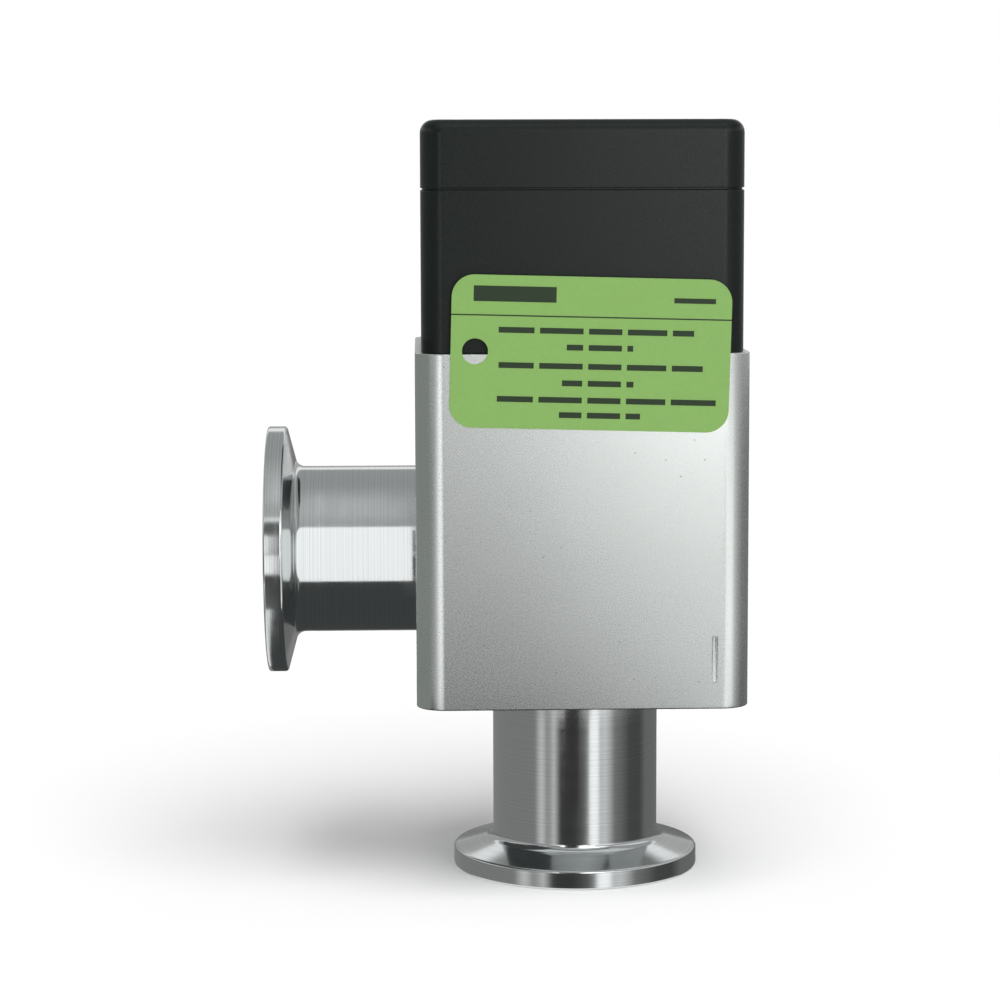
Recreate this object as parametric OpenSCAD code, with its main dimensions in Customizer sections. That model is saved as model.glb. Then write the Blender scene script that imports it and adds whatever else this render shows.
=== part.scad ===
// Pneumatic vacuum angle valve with two DN 25 small clamp flanges.
// Spring-closed: air under the piston lifts the valve plate off its seat.
// Millimetres, +Z up. The origin is the centre of the bottom port's flange
// face, the side port points along -X and the front of the valve faces -Y.

/* [Ports] */
// Distance from the valve axis to the side port's flange face
side_reach = 50; // [47:0.5:56]
// Height of the side port's axis above the bottom port's flange face
bottom_reach = 52.5; // [50:0.5:56]
// Outside diameter of the clamp flanges
flange_d = 40; // [38:0.5:42]
// Thickness of a flange at its rim
flange_rim = 3; // [2.5:0.1:3.5]
// Slope of the clamping face behind the rim, in degrees
flange_slope = 15; // [12:0.5:18]
// Diameter of the recess that takes a centring ring
recess_d = 26.2; // [25.7:0.1:27]
// Depth of the recess
recess_depth = 3; // [2:0.25:3.5]
// Outside diameter of the port tubes
stub_d = 27; // [26:0.25:28.5]
// Bore of the port tubes and of the valve seat
stub_bore = 24; // [22:0.25:25]
// Depth to which the tubes are pressed into the body
stub_grip = 4.5; // [3:0.25:6]
// Fillet between a clamping face and its tube
neck_fillet = 1.5; // [0.5:0.1:2]
// Broken edges of the turned ports
edge_break = 0.4; // [0.2:0.05:0.6]

/* [Valve body] */
// Width and depth of the square body
body_w = 52; // [50.5:0.25:56]
// Height of the body
body_h = 55.5; // [53:0.5:60]
// Distance from the side port's axis down to the underside of the body
body_drop = 22.25; // [21:0.25:24]
// Radius of the upright corners of the body
corner_r = 4.5; // [3:0.25:6]
// Height of the valve seat above the underside of the body
seat_rise = 8.5; // [7:0.25:9.5]
// Width of the raised seat land
seat_land = 3; // [2.6:0.1:3.6]
// Height of the seat land above the chamber floor
seat_step = 1; // [0.5:0.1:1.5]
// Gap between the valve plate and the chamber wall
flow_gap = 1.5; // [1:0.1:2]
// Width of the ledge that carries the bellows flange
bonnet_ledge = 3.5; // [3.2:0.1:4]
// Length of the milled mark on the front face
mark_length = 7.6; // [5:0.2:9]
// Width of the mark
mark_w = 1; // [0.6:0.1:1.5]
// Depth of the mark
mark_depth = 0.35; // [0.2:0.05:0.6]
// Distance from the right side of the body to the mark
mark_inset = 5.6; // [5:0.2:8]
// Height of the middle of the mark above the underside of the body
mark_rise = 7.8; // [6:0.2:14]

/* [Valve plate and bellows] */
// Thickness of the valve plate
plate_t = 5; // [4.5:0.25:6]
// Gap left between the closed plate and the seat
plate_gap = 0.5; // [0.3:0.05:0.7]
// Cord diameter of the plate seal
plate_cord = 2.6; // [2.4:0.1:2.8]
// Rim of the plate outside its seal groove
plate_lip = 0.74; // [0.6:0.02:1.2]
// Height of the boss on the plate
plate_boss_h = 3; // [3:0.25:4]
// Outside diameter of the bellows
bellows_od = 28; // [26:0.5:30]
// Inside diameter of the bellows
bellows_id = 19.8; // [19:0.1:21]
// Wall of the bellows
bellows_wall = 0.3; // [0.2:0.02:0.4]
// Number of folds in the bellows
bellows_folds = 10; // [8:1:12]
// Length of the plain cuff at each end of the bellows
cuff_length = 2.6; // [2:0.1:2.8]
// Thickness of the bellows flange
bonnet_t = 4; // [3.5:0.25:5]
// Cord diameter of the bellows flange's seal
bonnet_cord = 1.78; // [1.5:0.02:1.9]

/* [Actuator] */
// Setback of the actuator from the sides of the body
housing_step = 1; // [0.2:0.1:1.4]
// Height of the cylinder housing
housing_h = 25; // [24:0.5:30]
// Height of the top cover
cover_h = 10.75; // [9.5:0.25:14]
// Rounding round the top of the cover
cover_edge_r = 2; // [0.5:0.1:2.5]
// Height of the shadow gap under the cover
cover_seam = 0.3; // [0.2:0.05:0.5]
// Depth of the shadow gap
cover_seam_depth = 0.3; // [0.2:0.1:1]
// Thickness of the cover over the spring
cover_top_t = 3.5; // [3:0.25:4.5]
// Bore of the air cylinder
cylinder_d = 40; // [39:0.25:41]
// Thickness of the wall between cylinder and valve body
web_t = 6; // [5.6:0.1:8]
// Travel of the valve plate
stroke = 7; // [5:0.25:8]
// Air gap under the closed piston
air_gap = 1; // [0.5:0.1:1.5]
// Thickness of the piston
piston_t = 7; // [6.8:0.1:8]
// Thickness of the piston's floor
piston_floor_t = 3.5; // [3:0.1:4]
// Height of the piston seal
piston_seal_h = 2.6; // [2.2:0.1:2.8]
// Radial depth of the piston seal
piston_seal_depth = 2.8; // [2.2:0.1:3]
// Height of the guide ring on the piston
guide_ring_h = 1.6; // [1.2:0.1:1.8]
// Radial thickness of the guide ring
guide_ring_t = 1.2; // [1:0.1:1.5]
// Cord diameter of the cover's seal
cover_cord = 1.5; // [1.2:0.1:1.6]
// Tapped diameter of the compressed air port
air_port_d = 4.2; // [3.3:0.1:4.4]
// Depth of the compressed air port
air_port_depth = 8.5; // [7.5:0.25:9.5]
// Diameter of the drilling from the air port up to the cylinder
air_way_d = 2.4; // [1.5:0.1:3]

/* [Stem and spring] */
// Diameter of the stem
stem_d = 8; // [7:0.25:8.5]
// Diameter of the threaded ends of the stem
thread_d = 6; // [5:0.25:6.5]
// Length of stem screwed into the plate
thread_length = 6; // [4:0.25:6.5]
// Wall of the guide bush
bush_wall = 2; // [1.5:0.1:2.2]
// Length of the guide boss below the housing
guide_drop = 6; // [4:0.25:7]
// Wall of the guide boss round the bush
guide_wall = 2; // [1.5:0.1:2.1]
// Cord diameter of the stem seal
rod_cord = 2; // [1.5:0.1:2.2]
// Diameter of the washer that holds the stem seal down
retainer_d = 18; // [17:0.25:22]
// Thickness of that washer
retainer_t = 1.2; // [0.8:0.1:1.4]
// Width across the flats of the piston nut
nut_af = 10; // [9:0.25:12]
// Height of the piston nut
nut_h = 5; // [4:0.25:6]
// Diameter of the washer under the nut
washer_d = 12; // [11.5:0.25:14]
// Thickness of the washer under the nut
washer_t = 1; // [0.8:0.1:1.6]
// Outside diameter of the closing spring
spring_od = 28; // [26:0.25:28.5]
// Wire diameter of the closing spring
spring_wire = 2.4; // [1.8:0.1:2.6]
// Turns of the closing spring
spring_turns = 5; // [4:0.5:5.5]
// Diameter of the position indicator
indicator_d = 4.5; // [3.5:0.1:5]
// Depth of the indicator's end below the top of the cover
indicator_sink = 0.3; // [0.1:0.1:1]
// Diameter of the indicator's tail in the stem
indicator_tail_d = 3; // [2:0.1:3.4]
// Length of that tail
indicator_tail = 4; // [3:0.25:5]

/* [Cover screws] */
// Thread diameter of the cover screws
screw_d = 4; // [3:0.1:4.2]
// Length of the cover screws under the head
screw_length = 40; // [38:0.5:46]
// Diameter of the screw heads
head_d = 7; // [6:0.1:7.2]
// Height of the screw heads
head_h = 4; // [3:0.1:4.4]
// Width across the flats of the hexagon sockets
socket_af = 3; // [2.5:0.1:3.4]
// Depth of the heads below the top of the cover
head_sink = 0.4; // [0.2:0.1:1]
// Distance from the sides of the actuator to the screw axes
screw_inset = 5.8; // [5.4:0.1:6.4]

/* [Inspection card] */
// Width of the card on the front of the valve
card_w = 43; // [36:0.5:46]
// Height of the card
card_h = 23.5; // [18:0.5:30]
// Thickness of the card
card_t = 0.4; // [0.3:0.05:0.6]
// Corner radius of the card
card_corner_r = 3.5; // [2:0.25:6]
// Diameter of the punched hole
card_hole_d = 4; // [3:0.25:5]
// Distance from the left edge of the card to the middle of the hole
card_hole_inset = 3.75; // [3.25:0.25:6]
// Tilt of the card on the front face, in degrees
card_tilt = 1.5; // [0:0.5:4]
// Offset of the card to the right of the valve axis
card_shift = 1; // [-2:0.2:2]

/* [Fits] */
// Radial clearance of pressed and screwed pieces
press_fit = 0.02; // [0.01:0.005:0.04]
// Radial clearance of sliding pieces
running_fit = 0.03; // [0.02:0.005:0.06]
// Radial clearance of located pieces and of the piston
loose_fit = 0.1; // [0.06:0.01:0.2]
// Radial clearance of screws and of the indicator in their holes
hole_fit = 0.2; // [0.1:0.05:0.25]
// Gap between faces that rest lightly on each other
touch_gap = 0.05; // [0.02:0.01:0.08]

/* [Hidden] */
$fn = 96;
eps = 1;
arc_step = 30;
fillet_step = 15;

// Levels, from the bottom flange face up
axis_z = bottom_reach;
body_z0 = axis_z - body_drop;
body_z1 = body_z0 + body_h;
seat_z = body_z0 + seat_rise;
plate_z0 = seat_z + plate_gap;
plate_z1 = plate_z0 + plate_t;
boss_z1 = plate_z1 + plate_boss_h;
bonnet_z0 = body_z1 - bonnet_t;
housing_z1 = body_z1 + housing_h;
web_z1 = body_z1 + web_t;
piston_z0 = web_z1 + air_gap;
piston_z1 = piston_z0 + piston_t;
piston_floor_z = piston_z0 + piston_floor_t;
stop_clearance = 0.2;
stop_z = piston_z1 + stroke + stop_clearance;
cover_z1 = housing_z1 + cover_h;
pocket_z1 = cover_z1 - cover_top_t;
guide_z0 = body_z1 - guide_drop;
retainer_z0 = web_z1 - retainer_t;
rod_seal_z0 = retainer_z0 - rod_cord - 2 * touch_gap;
washer_z1 = piston_floor_z + washer_t;
nut_z1 = washer_z1 + nut_h;
thread_tip = 1;
stem_z1 = nut_z1 + thread_tip;
head_z0 = cover_z1 - head_sink - head_h;
screw_z0 = head_z0 - screw_length;

// Widths and radii worked out from the pieces that they fit
housing_w = body_w - 2 * housing_step;
seal_r = stub_bore / 2 + seat_land / 2;
groove_mouth = plate_cord * 0.42;
groove_base = plate_cord * 0.68;
groove_depth = plate_cord + touch_gap * 2 - plate_gap;
plate_r = seal_r + groove_base + plate_lip;
chamber_r = plate_r + flow_gap;
bonnet_r = chamber_r + bonnet_ledge;
cuff_r = bellows_id / 2 - loose_fit / 2;
stem_r = stem_d / 2;
bush_r = stem_r + running_fit + bush_wall;
guide_r = bush_r + press_fit + guide_wall;
cylinder_r = cylinder_d / 2;
piston_r = cylinder_r - loose_fit;
spring_room = 1;
pocket_r = spring_od / 2 + spring_room;
screw_pos = housing_w / 2 - screw_inset;
actuator_corner_r = corner_r - housing_step;

// Finishes
satin_aluminium = [0.72, 0.73, 0.73];
turned_aluminium = [0.82, 0.83, 0.84];
black_anodised = [0.13, 0.14, 0.14];
stainless = [0.70, 0.70, 0.70];
seal_black = [0.06, 0.06, 0.06];
bronze = [0.72, 0.53, 0.28];
ptfe = [0.90, 0.89, 0.85];
zinc = [0.60, 0.61, 0.62];
indicator_red = [0.72, 0.10, 0.08];
card_green = [0.50, 0.72, 0.36];

// Points of an arc about [cx, cy], from angle a0 to a1
function arc(cx, cy, r, a0, a1, step = arc_step) =
    let (count = ceil(abs(a1 - a0) / step))
    [for (i = [0:count])
        let (a = a0 + (a1 - a0) * i / count)
        [cx + r * cos(a), cy + r * sin(a)]];

// Rectangle with rounded corners, made of true arcs
module rounded_rectangle(w, h, r) {
    square([w - 2 * r, h], center = true);
    square([w, h - 2 * r], center = true);
    for (x = [-1, 1], y = [-1, 1])
        translate([x * (w / 2 - r), y * (h / 2 - r)]) circle(r);
}

// Ring of round cord, with the middle of the cord at radius r and height z
module o_ring(r, z, cord) {
    translate([0, 0, z]) rotate_extrude() translate([r, 0]) circle(d = cord, $fn = 48);
}

// Ring of rectangular section
module flat_ring(r_in, r_out, z0, z1) {
    translate([0, 0, z0]) difference() {
        cylinder(r = r_out, h = z1 - z0);
        translate([0, 0, -eps]) cylinder(r = r_in, h = z1 - z0 + 2 * eps);
    }
}

// The four corner positions of the cover screws
module at_screws() {
    for (x = [-1, 1], y = [-1, 1])
        translate([x * screw_pos, y * screw_pos, 0]) children();
}

// Turned port tube with a clamp flange at z = 0, standing along +Z
module port_stub(length) {
    slope = tan(flange_slope);
    fillet_r = stub_d / 2 + neck_fillet;
    fillet_z = flange_rim + (flange_d / 2 - fillet_r) * slope
        + neck_fillet / cos(flange_slope);
    rim_drop = edge_break * slope;
    rotate_extrude() polygon(concat(
        [[stub_bore / 2, length],
         [stub_bore / 2, recess_depth],
         [recess_d / 2, recess_depth],
         [recess_d / 2, 0],
         [flange_d / 2 - edge_break, 0],
         [flange_d / 2, edge_break],
         [flange_d / 2, flange_rim - edge_break],
         [flange_d / 2 - edge_break, flange_rim + rim_drop]],
        arc(fillet_r, fillet_z, neck_fillet, 270 - flange_slope, 180, fillet_step),
        [[stub_d / 2, length - edge_break],
         [stub_d / 2 - edge_break, length]]
    ));
}

module bottom_port() {
    color(turned_aluminium) port_stub(body_z0 + stub_grip - press_fit);
}

module side_port() {
    color(turned_aluminium)
        translate([-side_reach, 0, axis_z]) rotate([0, 90, 0])
            port_stub(side_reach - body_w / 2 + stub_grip - press_fit);
}

// Chamber, seat, bonnet seat and tube pocket on the valve axis
module body_bore() {
    rotate_extrude() polygon([
        [0, body_z0 - eps],
        [stub_d / 2 + press_fit, body_z0 - eps],
        [stub_d / 2 + press_fit, body_z0 + stub_grip],
        [stub_bore / 2, body_z0 + stub_grip],
        [stub_bore / 2, seat_z],
        [stub_bore / 2 + seat_land, seat_z],
        [stub_bore / 2 + seat_land, seat_z - seat_step],
        [chamber_r, seat_z - seat_step],
        [chamber_r, bonnet_z0],
        [bonnet_r, bonnet_z0],
        [bonnet_r, body_z1 + eps],
        [0, body_z1 + eps]
    ]);
}

// Bore and tube pocket of the side port
module side_bore() {
    pocket = stub_grip + eps;
    translate([-body_w / 2 - eps, 0, axis_z]) rotate([0, 90, 0]) {
        cylinder(d = stub_bore, h = body_w / 2 + eps);
        cylinder(d = stub_d + 2 * press_fit, h = pocket);
    }
}

// Shallow milled slot low on the right of the front face
module seat_mark() {
    straight = mark_length - mark_w;
    translate([body_w / 2 - mark_inset, -body_w / 2 + mark_depth, body_z0 + mark_rise])
        rotate([90, 0, 0]) linear_extrude(mark_depth + eps) {
            square([mark_w, straight], center = true);
            for (side = [-1, 1])
                translate([0, side * straight / 2]) circle(d = mark_w);
        }
}

module valve_body() {
    tap_end = 1.5;
    color(satin_aluminium) difference() {
        translate([0, 0, body_z0]) linear_extrude(body_h) rounded_rectangle(body_w, body_w, corner_r);
        body_bore();
        side_bore();
        seat_mark();
        at_screws() translate([0, 0, screw_z0 - tap_end])
            cylinder(d = screw_d + 2 * touch_gap, h = body_z1 - screw_z0 + tap_end + eps);
    }
}

// Disc with a dovetail groove below and a boss for the bellows and stem above
module valve_plate() {
    tail_z = boss_z1 - thread_length - touch_gap;
    color(stainless) rotate_extrude() polygon([
        [0, plate_z0],
        [seal_r - groove_mouth, plate_z0],
        [seal_r - groove_base, plate_z0 + groove_depth],
        [seal_r + groove_base, plate_z0 + groove_depth],
        [seal_r + groove_mouth, plate_z0],
        [plate_r - edge_break, plate_z0],
        [plate_r, plate_z0 + edge_break],
        [plate_r, plate_z1 - edge_break],
        [plate_r - edge_break, plate_z1],
        [cuff_r, plate_z1],
        [cuff_r, boss_z1],
        [thread_d / 2 + press_fit, boss_z1],
        [thread_d / 2 + press_fit, tail_z],
        [0, tail_z]
    ]);
}

module plate_seal() {
    color(seal_black) o_ring(seal_r, seat_z + touch_gap + plate_cord / 2, plate_cord);
}

// One side of the bellows wall, offset from its middle line by side times half the wall
function bellows_side(side) =
    let (mid_in = bellows_id / 2 + bellows_wall / 2,
         mid_out = bellows_od / 2 - bellows_wall / 2,
         z0 = plate_z1 + touch_gap,
         z1 = bonnet_z0 - touch_gap,
         first = z0 + cuff_length,
         pitch = (z1 - z0 - 2 * cuff_length) / bellows_folds,
         bend = pitch / 4,
         crest = bend + side * bellows_wall / 2,
         root = bend - side * bellows_wall / 2,
         shift = side * bellows_wall / 2)
    concat(
        [[mid_in + shift, z0]],
        [for (i = [0:bellows_folds - 1])
            let (z = first + i * pitch)
            each concat(
                arc(mid_in + bend, z, root, 180, 90),
                arc(mid_out - bend, z + 2 * bend, crest, -90, 90),
                arc(mid_in + bend, z + 4 * bend, root, 270, 180))],
        [[mid_in + shift, z1]]
    );

// Formed metal bellows with U-shaped folds and a plain cuff at each end
module bellows() {
    outer = bellows_side(1);
    inner = bellows_side(-1);
    last = len(inner) - 1;
    color(stainless) rotate_extrude()
        polygon(concat(outer, [for (i = [0:last]) inner[last - i]]));
}

// Ring that closes the chamber, with a spigot that carries the top of the bellows
module bellows_flange() {
    spigot = cuff_length + touch_gap;
    groove_side = bonnet_cord / 2 + 0.25;
    groove_mid = chamber_r + bonnet_ledge / 2;
    bore_r = guide_r + loose_fit;
    color(stainless) difference() {
        union() {
            translate([0, 0, bonnet_z0])
                cylinder(r = bonnet_r - press_fit, h = bonnet_t);
            translate([0, 0, bonnet_z0 - spigot]) cylinder(r = cuff_r, h = spigot + eps);
        }
        translate([0, 0, bonnet_z0 - spigot - eps])
            cylinder(r = bore_r, h = bonnet_t + spigot + 2 * eps);
        flat_ring(groove_mid - groove_side, groove_mid + groove_side,
            bonnet_z0 - eps, bonnet_z0 + bonnet_cord + touch_gap);
    }
}

module bonnet_seal() {
    color(seal_black)
        o_ring(chamber_r + bonnet_ledge / 2, bonnet_z0 + bonnet_cord / 2, bonnet_cord);
}

// Ground stem with a threaded end for the plate and one for the piston
module stem() {
    tail_depth = indicator_tail + touch_gap;
    color(stainless) difference() {
        union() {
            translate([0, 0, boss_z1 - thread_length])
                cylinder(d = thread_d, h = stem_z1 - boss_z1 + thread_length);
            translate([0, 0, boss_z1]) cylinder(d = stem_d, h = piston_z0 - boss_z1);
        }
        translate([0, 0, stem_z1 - tail_depth])
            cylinder(d = indicator_tail_d, h = tail_depth + eps);
    }
}

module guide_bush() {
    color(bronze) flat_ring(stem_r + running_fit, bush_r, guide_z0, rod_seal_z0);
}

module rod_seal() {
    mid_r = stem_r + running_fit + rod_cord / 2;
    color(seal_black) o_ring(mid_r, rod_seal_z0 + touch_gap + rod_cord / 2, rod_cord);
}

module seal_retainer() {
    color(zinc) flat_ring(stem_r + hole_fit, retainer_d / 2, retainer_z0, web_z1);
}

// Port in the back of the web and the drilling that leads up into the cylinder
module air_passage() {
    back = housing_w / 2;
    port_z = body_z1 + web_t / 2;
    way_y = back - air_port_depth + air_way_d / 2;
    translate([0, back + eps, port_z]) rotate([90, 0, 0])
        cylinder(d = air_port_d, h = air_port_depth + eps);
    translate([0, way_y, port_z]) cylinder(d = air_way_d, h = web_t / 2 + eps);
}

// Square housing with the cylinder above its web and the stem guide below
module cylinder_housing() {
    seal_pocket_r = stem_r + running_fit + rod_cord + touch_gap;
    color(black_anodised) difference() {
        union() {
            translate([0, 0, body_z1]) linear_extrude(housing_h)
                rounded_rectangle(housing_w, housing_w, actuator_corner_r);
            translate([0, 0, guide_z0]) cylinder(r = guide_r, h = guide_drop + eps);
        }
        translate([0, 0, web_z1]) cylinder(r = cylinder_r, h = housing_h);
        translate([0, 0, guide_z0 - eps])
            cylinder(r = bush_r + press_fit, h = rod_seal_z0 - guide_z0 + eps);
        translate([0, 0, rod_seal_z0 - eps / 2])
            cylinder(r = seal_pocket_r, h = retainer_z0 - rod_seal_z0 + eps);
        translate([0, 0, retainer_z0]) cylinder(d = retainer_d + 2 * press_fit, h = web_t);
        at_screws() translate([0, 0, body_z1 - eps])
            cylinder(d = screw_d + 2 * hole_fit, h = housing_h + 2 * eps);
        air_passage();
    }
}

// Heights of the two grooves in the piston's side
seal_groove_z = piston_z0 + 1;
guide_groove_z = seal_groove_z + piston_seal_h + 1;

// Dished piston, with a groove for the lip seal and one for the guide ring
module piston() {
    seal_root = cylinder_r - piston_seal_depth - touch_gap;
    guide_root = cylinder_r - guide_ring_t - touch_gap;
    color(satin_aluminium) rotate_extrude() polygon([
        [thread_d / 2 + press_fit, piston_z0],
        [piston_r - edge_break, piston_z0],
        [piston_r, piston_z0 + edge_break],
        [piston_r, seal_groove_z],
        [seal_root, seal_groove_z],
        [seal_root, seal_groove_z + piston_seal_h],
        [piston_r, seal_groove_z + piston_seal_h],
        [piston_r, guide_groove_z],
        [guide_root, guide_groove_z],
        [guide_root, guide_groove_z + guide_ring_h],
        [piston_r, guide_groove_z + guide_ring_h],
        [piston_r, piston_z1],
        [pocket_r, piston_z1],
        [pocket_r, piston_floor_z],
        [thread_d / 2 + press_fit, piston_floor_z]
    ]);
}

// Lip ring, open towards the air under the piston
module piston_seal() {
    r1 = cylinder_r - running_fit;
    r0 = cylinder_r - piston_seal_depth;
    z0 = seal_groove_z + touch_gap;
    z1 = seal_groove_z + piston_seal_h - touch_gap;
    lip = 0.6;
    mid = (r0 + r1) / 2;
    color(seal_black) rotate_extrude() polygon([
        [r0, z0], [r0 + lip, z0], [mid, (z0 + z1) / 2], [r1 - lip, z0],
        [r1, z0], [r1, z1 - lip], [r1 - lip, z1], [r0, z1]
    ]);
}

// Split band that keeps the piston off the cylinder wall
module guide_ring() {
    split = 0.6;
    color(ptfe) difference() {
        flat_ring(cylinder_r - guide_ring_t, cylinder_r - running_fit,
            guide_groove_z + touch_gap, guide_groove_z + guide_ring_h - touch_gap);
        translate([0, -split / 2, guide_groove_z])
            cube([cylinder_d, split, guide_ring_h]);
    }
}

module piston_washer() {
    color(zinc) flat_ring(thread_d / 2 + loose_fit, washer_d / 2, piston_floor_z, washer_z1);
}

module piston_nut() {
    color(zinc) translate([0, 0, washer_z1]) difference() {
        cylinder(d = nut_af / cos(30), h = nut_h, $fn = 6);
        translate([0, 0, -eps]) cylinder(d = thread_d + 2 * press_fit, h = nut_h + 2 * eps);
    }
}

// Height of the spring's wire after t turns, with a closed turn at each end
function coil_height(t, length) =
    let (closed = 0.75,
         lay = spring_wire * 1.04,
         open_rise = length - spring_wire - 2 * closed * lay,
         open_turns = spring_turns - 2 * closed)
    spring_wire / 2 + (t < closed ? t * lay
        : t > spring_turns - closed
            ? length - spring_wire - (spring_turns - t) * lay
            : closed * lay + (t - closed) / open_turns * open_rise);

// Compression spring between the piston's dish and the cover's pocket
module closing_spring() {
    sides = 8;
    steps = 18;
    count = spring_turns * steps;
    length = pocket_z1 - piston_floor_z - 2 * touch_gap;
    mid_r = (spring_od - spring_wire) / 2;
    points = [for (i = [0:count], j = [0:sides - 1])
        let (turn = i * 360 / steps,
             around = j * 360 / sides,
             r = mid_r + spring_wire / 2 * cos(around),
             z = coil_height(i / steps, length) + spring_wire / 2 * sin(around))
        [r * cos(turn), r * sin(turn), z]];
    skin = [for (i = [0:count - 1], j = [0:sides - 1])
        let (a = i * sides + j,
             b = i * sides + (j + 1) % sides)
        each [[a, b, a + sides], [b, b + sides, a + sides]]];
    start = [for (j = [0:sides - 1]) sides - 1 - j];
    end = [for (j = [0:sides - 1]) count * sides + j];
    color(zinc) translate([0, 0, piston_floor_z + touch_gap])
        polyhedron(points, concat(skin, [start, end]));
}

// Upright half section of the cover's block, w wide, with a rounded top edge
module crown_section(w, h) {
    square([w, h - cover_edge_r]);
    square([w - cover_edge_r, h]);
    translate([w - cover_edge_r, h - cover_edge_r]) intersection() {
        circle(cover_edge_r);
        square(cover_edge_r);
    }
}

// Square block with round corners, rounded all along its upper edge
module cover_crown(h) {
    flat = housing_w - 2 * actuator_corner_r;
    for (turn = [0:90:270])
        rotate([90, 0, turn]) translate([0, 0, -flat / 2])
            linear_extrude(flat) crown_section(housing_w / 2, h);
    for (x = [-1, 1], y = [-1, 1])
        translate([x * flat / 2, y * flat / 2, 0])
            rotate_extrude() crown_section(actuator_corner_r, h);
}

// Cover with a spigot in the cylinder, which is also the piston's upper stop
module top_cover() {
    seam_z = housing_z1 + cover_seam;
    seam_w = housing_w - 2 * cover_seam_depth;
    seal_z = (stop_z + housing_z1) / 2;
    seal_root = cylinder_r - cover_cord - 2 * touch_gap;
    groove_half = cover_cord / 2 + 0.15;
    color(black_anodised) difference() {
        union() {
            translate([0, 0, stop_z])
                cylinder(r = cylinder_r - loose_fit, h = housing_z1 - stop_z + eps);
            translate([0, 0, housing_z1]) linear_extrude(cover_seam + eps)
                rounded_rectangle(seam_w, seam_w, actuator_corner_r - cover_seam_depth);
            translate([0, 0, seam_z]) cover_crown(cover_z1 - seam_z);
        }
        translate([0, 0, stop_z - eps]) cylinder(r = pocket_r, h = pocket_z1 - stop_z + eps);
        translate([0, 0, pocket_z1 - eps])
            cylinder(d = indicator_d + 2 * hole_fit, h = cover_top_t + 2 * eps);
        flat_ring(seal_root, cylinder_r, seal_z - groove_half, seal_z + groove_half);
        at_screws() {
            translate([0, 0, housing_z1 - eps])
                cylinder(d = screw_d + 2 * hole_fit, h = cover_h + 2 * eps);
            translate([0, 0, head_z0])
                cylinder(d = head_d + 2 * hole_fit, h = head_h + head_sink + eps);
        }
    }
}

module cover_seal() {
    color(seal_black)
        o_ring(cylinder_r - press_fit - cover_cord / 2, (stop_z + housing_z1) / 2, cover_cord);
}

// Four long socket head screws through cover and housing into the body
module cover_screws() {
    socket_depth = head_h / 2;
    color(zinc) at_screws() difference() {
        union() {
            translate([0, 0, screw_z0]) cylinder(d = screw_d, h = screw_length + eps);
            translate([0, 0, head_z0]) cylinder(d = head_d, h = head_h);
        }
        translate([0, 0, head_z0 + head_h - socket_depth])
            cylinder(d = socket_af / cos(30), h = socket_depth + eps, $fn = 6);
    }
}

// Coloured pin that rises out of the cover as the valve opens
module indicator_pin() {
    top_z = cover_z1 - indicator_sink;
    color(indicator_red) {
        translate([0, 0, stem_z1]) cylinder(d = indicator_d, h = top_z - stem_z1);
        translate([0, 0, stem_z1 - indicator_tail])
            cylinder(d = indicator_tail_d - 2 * press_fit, h = indicator_tail + eps);
    }
}

// Plain punched card against the front of the valve, across the joint of body and actuator
module inspection_card() {
    color(card_green)
        translate([card_shift, -body_w / 2, body_z1]) rotate([90, card_tilt, 0])
            linear_extrude(card_t) difference() {
                rounded_rectangle(card_w, card_h, card_corner_r);
                translate([card_hole_inset - card_w / 2, 0]) circle(d = card_hole_d);
            }
}

valve_body();
side_port();
bottom_port();
valve_plate();
plate_seal();
bellows();
bellows_flange();
bonnet_seal();
stem();
guide_bush();
rod_seal();
seal_retainer();
cylinder_housing();
piston();
piston_seal();
guide_ring();
piston_washer();
piston_nut();
closing_spring();
top_cover();
cover_seal();
cover_screws();
indicator_pin();
inspection_card();
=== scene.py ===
import math

import bmesh
import bpy
from mathutils import Matrix, Vector


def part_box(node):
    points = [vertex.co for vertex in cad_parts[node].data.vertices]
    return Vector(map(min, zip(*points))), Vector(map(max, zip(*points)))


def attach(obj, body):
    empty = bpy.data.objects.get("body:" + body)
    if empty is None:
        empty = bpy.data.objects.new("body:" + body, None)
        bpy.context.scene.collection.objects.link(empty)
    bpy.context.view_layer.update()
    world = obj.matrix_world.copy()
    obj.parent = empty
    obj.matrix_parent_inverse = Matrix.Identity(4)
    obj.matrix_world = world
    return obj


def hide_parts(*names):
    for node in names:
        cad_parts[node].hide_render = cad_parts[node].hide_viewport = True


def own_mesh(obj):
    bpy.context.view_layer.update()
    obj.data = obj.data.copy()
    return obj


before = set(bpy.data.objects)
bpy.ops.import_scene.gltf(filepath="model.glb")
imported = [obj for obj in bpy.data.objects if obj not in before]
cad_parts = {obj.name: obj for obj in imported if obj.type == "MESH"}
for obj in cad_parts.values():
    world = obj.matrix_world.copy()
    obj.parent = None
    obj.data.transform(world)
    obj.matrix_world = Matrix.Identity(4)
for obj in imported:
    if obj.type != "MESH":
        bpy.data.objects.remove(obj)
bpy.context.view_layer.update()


# Valve body
# A square block of extruded aluminium, bored for the valve chamber and for the two ports, then blasted and
# clear anodised. The port tubes are pressed into it, and the actuator is screwed down on top of it.

MM = 0.001
SAME_POINT = 0.001 * MM
FULL_TURN = 2 * math.pi


def round_off(bm, parts, offset, segments, affect="EDGES"):
    """Rounds edges off, or the corners of an outline."""
    bmesh.ops.bevel(bm, geom=parts, offset=offset, affect=affect, segments=segments, profile=0.5, material=-1)


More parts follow.
